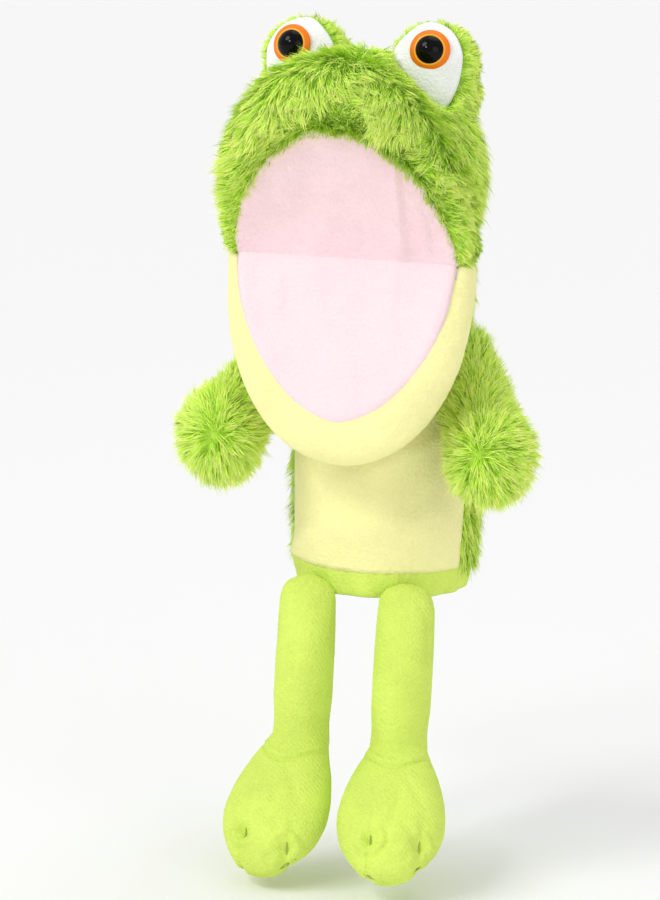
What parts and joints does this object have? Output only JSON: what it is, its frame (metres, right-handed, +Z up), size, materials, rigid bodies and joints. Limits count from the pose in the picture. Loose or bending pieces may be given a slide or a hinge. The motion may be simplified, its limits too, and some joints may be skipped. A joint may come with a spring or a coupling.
{
  "type": "frog hand puppet",
  "caption": "Soft plush frog hand puppet with a wide opening mouth, safety eyes, short arms and dangling stuffed legs, worn on the hand.",
  "frame": {"origin": "centre of the hand opening at the torso's bottom hem", "axes": "+Z up along the sleeve, -Y the puppet's front, +X to its side (the viewer's right)"},
  "size_m": [0.17, 0.1651, 0.4125],
  "materials": {
    "green_plush": "long soft pile",
    "lime_velour": "short brushed pile",
    "yellow_plush": "short soft pile",
    "pink_palate": "short brushed pile",
    "white_eye_pile": "short dense pile",
    "green_lining": "plain woven",
    "polyester_filling": "loose fibre",
    "mouth_board": "thin flexible sheet",
    "green_thread": "twisted",
    "white_label": "satin ribbon",
    "orange_iris": "moulded, glossy",
    "black_pupil": "moulded, high gloss",
    "washer_plastic": "moulded"
  },
  "bodies": {
    "torso": {"body_back": "green_plush", "belly_panel": "yellow_plush", "body_lining": "green_lining", "hem_band": "green_plush", "sewn_in_label": "white_label"},
    "head": {"muzzle_cover": "green_plush", "muzzle_stuffing": "polyester_filling", "head_cover": "green_plush", "head_stuffing": "polyester_filling", "finger_pocket": "green_lining", "upper_mouth_plate": "mouth_board", "upper_palate": "pink_palate", "mouth_fold": "pink_palate", "eye_mound_left": "green_plush", "eye_patch_left": "white_eye_pile", "eye_iris_left": "orange_iris", "eye_pupil_left": "black_pupil", "eye_washer_left": "washer_plastic", "eye_mound_right": "green_plush", "eye_patch_right": "white_eye_pile", "eye_iris_right": "orange_iris", "eye_pupil_right": "black_pupil", "eye_washer_right": "washer_plastic"},
    "lower_jaw": {"lip_cover": "yellow_plush", "throat_cover": "yellow_plush", "jaw_stuffing": "polyester_filling", "thumb_pocket": "green_lining", "lower_mouth_plate": "mouth_board", "lower_palate": "pink_palate"},
    "arm_left": {"arm_cover_left": "green_plush", "arm_stuffing_left": "polyester_filling"},
    "leg_left": {"leg_cover_left": "lime_velour", "leg_stuffing_left": "polyester_filling"},
    "foot_left": {"foot_cover_left": "lime_velour", "foot_stuffing_left": "polyester_filling", "toe_stitches_left": "green_thread"},
    "arm_right": {"arm_cover_right": "green_plush", "arm_stuffing_right": "polyester_filling"},
    "leg_right": {"leg_cover_right": "lime_velour", "leg_stuffing_right": "polyester_filling"},
    "foot_right": {"foot_cover_right": "lime_velour", "foot_stuffing_right": "polyester_filling", "toe_stitches_right": "green_thread"}
  },
  "joints": [
    {"name": "upper_jaw_hinge", "type": "hinge", "parent": "torso", "child": "head", "pos_m": [0, -0.08, 0.17], "axis": [1, 0, 0], "range_deg": [-8, 60]},
    {"name": "lower_jaw_hinge", "type": "hinge", "parent": "torso", "child": "lower_jaw", "pos_m": [0, -0.08, 0.17], "axis": [-1, 0, 0], "range_deg": [0, 75]},
    {"name": "shoulder_left", "type": "hinge", "parent": "torso", "child": "arm_left", "pos_m": [-0.0545, -0.024, 0.12], "axis": [0, 1, 0], "range_deg": [0, 70]},
    {"name": "hip_left", "type": "hinge", "parent": "torso", "child": "leg_left", "pos_m": [-0.025, -0.049, -0.017], "axis": [-1, 0, 0], "range_deg": [-8, 85]},
    {"name": "ankle_left", "type": "hinge", "parent": "leg_left", "child": "foot_left", "pos_m": [-0.025, -0.049, -0.074], "axis": [-0.9925, 0.1219, 0], "range_deg": [0, 24]},
    {"name": "shoulder_right", "type": "hinge", "parent": "torso", "child": "arm_right", "pos_m": [0.0545, -0.024, 0.12], "axis": [0, -1, 0], "range_deg": [0, 70]},
    {"name": "hip_right", "type": "hinge", "parent": "torso", "child": "leg_right", "pos_m": [0.025, -0.049, -0.017], "axis": [-1, 0, 0], "range_deg": [-8, 85]},
    {"name": "ankle_right", "type": "hinge", "parent": "leg_right", "child": "foot_right", "pos_m": [0.025, -0.049, -0.074], "axis": [-0.9816, -0.1908, 0], "range_deg": [0, 24]}
  ]
}
